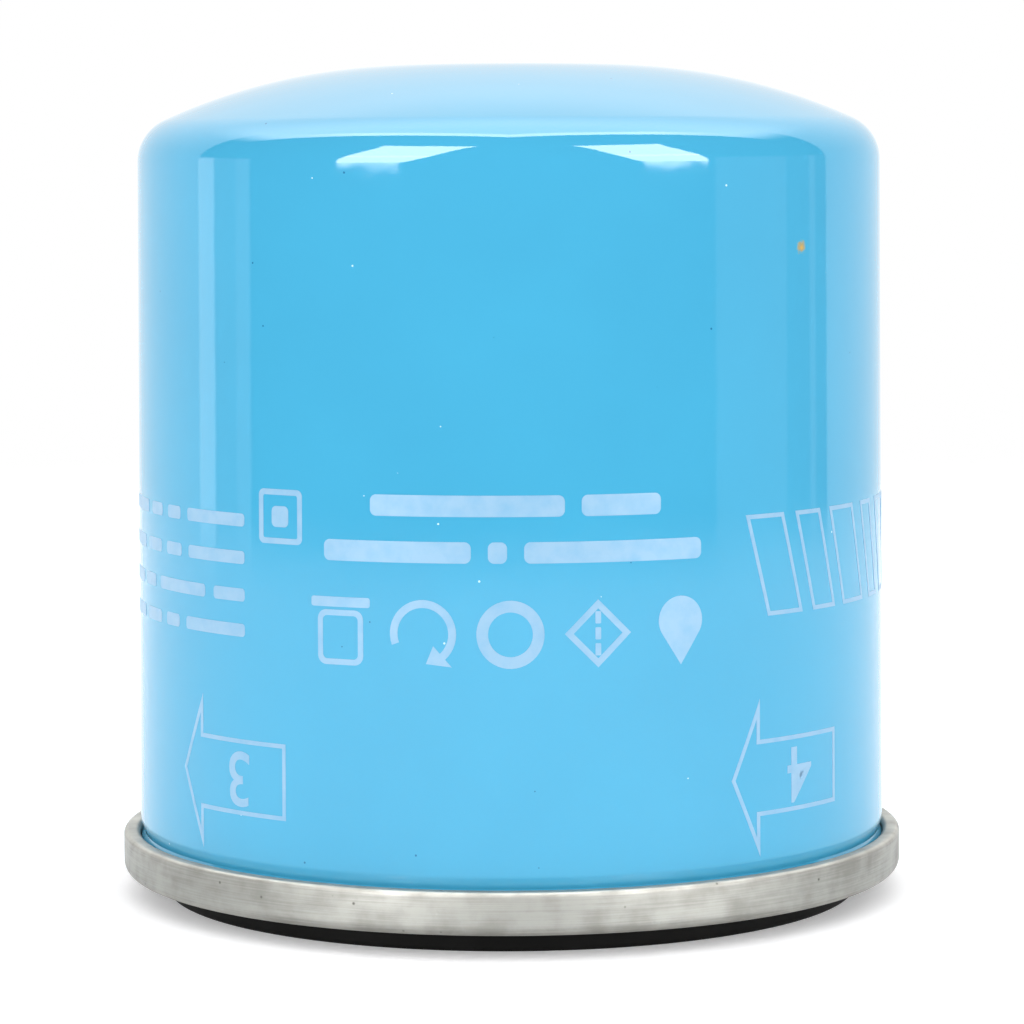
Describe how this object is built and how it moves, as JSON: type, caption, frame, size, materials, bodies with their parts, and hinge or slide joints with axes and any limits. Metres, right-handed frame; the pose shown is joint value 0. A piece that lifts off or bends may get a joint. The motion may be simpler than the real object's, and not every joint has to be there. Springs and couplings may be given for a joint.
{
  "type": "engine oil filter",
  "caption": "Spin-on engine oil filter: blue enamelled can with a domed end, bare rolled seam, black gasket, threaded tapping plate, pleated element, bypass and anti-drain valves inside.",
  "frame": {"origin": "centre of the gasket's sealing face, on the thread axis, which is the lowest point of the part", "axes": "+Z along the thread axis towards the closed, domed end of the can; -Y faces the viewer, +X is to the right"},
  "size_m": [0.0796, 0.0796, 0.084],
  "materials": {
    "blue_enamel": "glossy stoved enamel on drawn steel",
    "zinc_steel": "dull zinc-plated sheet steel",
    "bare_steel": "bare mild steel",
    "spring_steel": "oiled spring steel",
    "nitrile": "moulded black nitrile rubber",
    "silicone": "moulded red-brown silicone rubber",
    "resin_paper": "resin-treated pleated filter paper",
    "plastisol": "cured plastisol potting",
    "seam_sealant": "cured seaming compound"
  },
  "bodies": {
    "root": {"can": "blue_enamel", "gasket_retainer": "zinc_steel", "seam_sealant": "seam_sealant", "gasket": "nitrile", "tapping_plate": "bare_steel", "anti_drain_valve": "silicone", "pressure_spring": "spring_steel"},
    "element": {"lower_end_cap": "zinc_steel", "upper_end_cap": "zinc_steel", "lower_potting": "plastisol", "upper_potting": "plastisol", "pleated_paper": "resin_paper", "paper_seam_clip": "zinc_steel", "centre_tube": "zinc_steel", "bypass_seat": "bare_steel", "bypass_cage": "bare_steel", "bypass_spring": "spring_steel"},
    "poppet": {"bypass_poppet": "bare_steel", "bypass_seal": "nitrile", "bypass_washer": "zinc_steel"}
  },
  "joints": [
    {"name": "element_lift", "type": "slide", "parent": "root", "child": "element", "axis": [0, 0, 1], "range_m": [0, 0.0015], "stiffness_N_per_m": 20000, "springref_m": -0.0004, "deforming": ["pressure_spring"]},
    {"name": "bypass_open", "type": "slide", "parent": "element", "child": "poppet", "axis": [0, 0, -1], "range_m": [0, 0.003], "stiffness_N_per_m": 2500, "springref_m": -0.0004, "deforming": ["bypass_spring"]}
  ]
}
